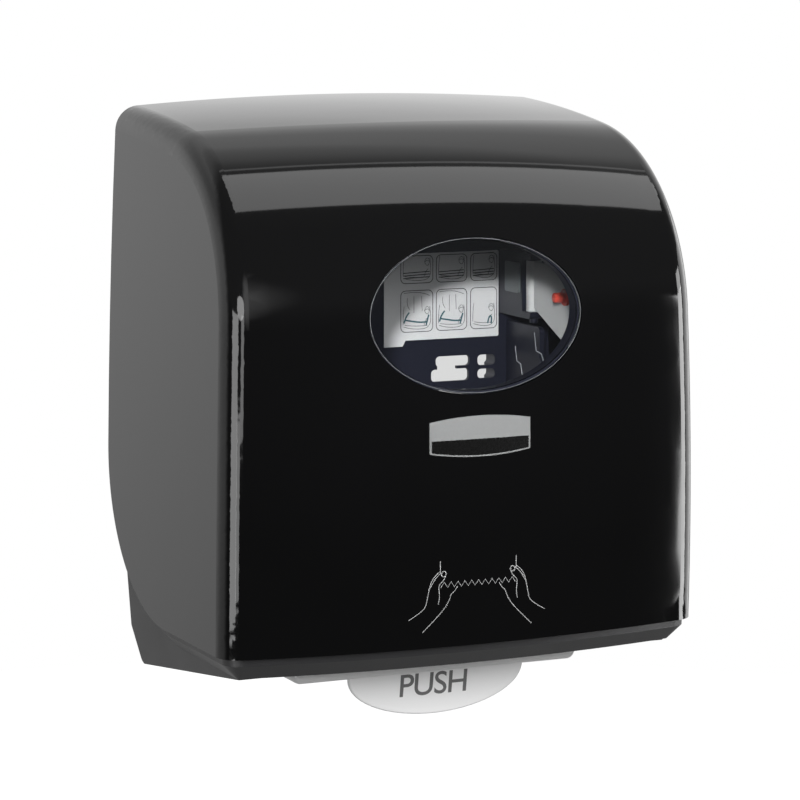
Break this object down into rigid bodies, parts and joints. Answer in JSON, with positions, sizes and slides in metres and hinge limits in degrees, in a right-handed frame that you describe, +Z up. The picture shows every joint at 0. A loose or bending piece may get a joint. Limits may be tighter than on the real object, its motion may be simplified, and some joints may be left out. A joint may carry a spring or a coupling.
{
  "type": "lever paper towel dispenser",
  "caption": "Wall-mounted roll towel dispenser: bowed black cover with oval window hinged at its foot, black base, white push lever geared to a feed roller.",
  "frame": {"origin": "centre of the wall screw pattern, on the wall plane", "axes": "+Y into the wall, +Z up, +X to the right seen from the front"},
  "size_m": [0.288, 0.2027, 0.3436],
  "materials": {
    "cover_plastic": "polished black moulding",
    "clear_lens": "clear moulded window",
    "badge_plastic": "satin light grey",
    "base_plastic": "fine-grained black",
    "inner_plastic": "satin black",
    "grey_plastic": "satin grey",
    "arm_plastic": "light grey moulding",
    "red_plastic": "red moulding",
    "lever_plastic": "white moulding",
    "gear_plastic": "natural acetal",
    "bush_plastic": "natural acetal",
    "roller_rubber": "fine-ground black rubber",
    "label_paper": "white self-adhesive paper",
    "steel": "ground bar",
    "blade_steel": "stainless strip",
    "spring_steel": "spring wire",
    "zinc_steel": "zinc plated"
  },
  "bodies": {
    "housing": {"base_housing": "base_plastic", "wall_plate": "inner_plastic", "instruction_label": "label_paper", "plate_screws": "zinc_steel", "cover_hinge_pins": "steel", "right_arm_bracket": "inner_plastic", "left_arm_bracket": "inner_plastic", "right_arm_post": "inner_plastic", "left_arm_post": "inner_plastic", "right_bracket_cap": "grey_plastic", "left_bracket_cap": "grey_plastic", "right_side_frame": "inner_plastic", "left_side_frame": "inner_plastic", "frame_screws": "zinc_steel", "tie_bars": "steel", "front_chute": "inner_plastic", "rear_chute": "inner_plastic", "front_guide": "inner_plastic", "rear_guide": "inner_plastic", "tear_blade": "blade_steel", "blade_screws": "zinc_steel", "feed_bushes": "bush_plastic", "lever_bushes": "bush_plastic", "pinch_blocks": "bush_plastic", "pinch_springs": "spring_steel", "idler_stud": "steel", "return_spring": "spring_steel"},
    "cover": {"front_cover": "cover_plastic", "window_lens": "clear_lens", "cover_badge": "badge_plastic"},
    "lock": {"lock_barrel": "zinc_steel", "lock_cam": "zinc_steel"},
    "lever": {"push_lever": "lever_plastic", "lever_shaft": "steel", "lever_sector": "gear_plastic"},
    "idler": {"idler_gear": "gear_plastic"},
    "clutch": {"clutch_gear": "gear_plastic"},
    "feed": {"feed_shaft": "steel", "feed_core": "inner_plastic", "feed_sleeves": "roller_rubber", "thumb_wheel": "grey_plastic", "shaft_clips": "spring_steel"},
    "pinch": {"pinch_shaft": "steel", "pinch_rollers": "roller_rubber"},
    "right_arm": {"right_roll_arm": "arm_plastic", "right_hub_pin": "red_plastic"},
    "left_arm": {"left_roll_arm": "arm_plastic", "left_hub_pin": "red_plastic"}
  },
  "joints": [
    {"name": "cover_hinge", "type": "hinge", "parent": "housing", "child": "cover", "pos_m": [0, -0.17, -0.1418], "axis": [1, 0, 0], "range_deg": [0, 80]},
    {"name": "lock_turn", "type": "hinge", "parent": "cover", "child": "lock", "pos_m": [0.13, -0.03, 0.1], "axis": [1, 0, 0], "range_deg": [0, 90]},
    {"name": "lever_push", "type": "hinge", "parent": "housing", "child": "lever", "pos_m": [0, -0.122, -0.118], "axis": [1, 0, 0], "range_deg": [0, 18], "stiffness_Nm_per_rad": 1, "springref_deg": -20.05, "deforming": ["return_spring"]},
    {"name": "idler_spin", "type": "hinge", "parent": "housing", "child": "idler", "pos_m": [-0.12, -0.12, -0.05503], "axis": [1, 0, 0], "range_deg": [-110, 2]},
    {"name": "clutch_spin", "type": "hinge", "parent": "housing", "child": "clutch", "pos_m": [-0.12, -0.098, -0.096], "axis": [1, 0, 0], "range_deg": [-4, 268]},
    {"name": "feed_spin", "type": "hinge", "parent": "housing", "child": "feed", "pos_m": [0, -0.098, -0.096], "axis": [1, 0, 0], "continuous": true},
    {"name": "pinch_spin", "type": "hinge", "parent": "housing", "child": "pinch", "pos_m": [0, -0.0687, -0.096], "axis": [1, 0, 0], "continuous": true},
    {"name": "right_arm_swing", "type": "hinge", "parent": "housing", "child": "right_arm", "pos_m": [0.108, -0.0493, 0.0382], "axis": [0, 0, 1], "range_deg": [0, 12], "stiffness_Nm_per_rad": 0.5, "springref_deg": -11.46},
    {"name": "left_arm_swing", "type": "hinge", "parent": "housing", "child": "left_arm", "pos_m": [-0.108, -0.0493, 0.0382], "axis": [0, 0, -1], "range_deg": [0, 12], "stiffness_Nm_per_rad": 0.5, "springref_deg": -11.46}
  ],
  "couplings": [
    {"joint": "idler_spin", "follows": "lever_push", "ratio": -6},
    {"joint": "clutch_spin", "follows": "lever_push", "ratio": 14.667},
    {"joint": "pinch_spin", "follows": "feed_spin", "ratio": -1.9}
  ]
}
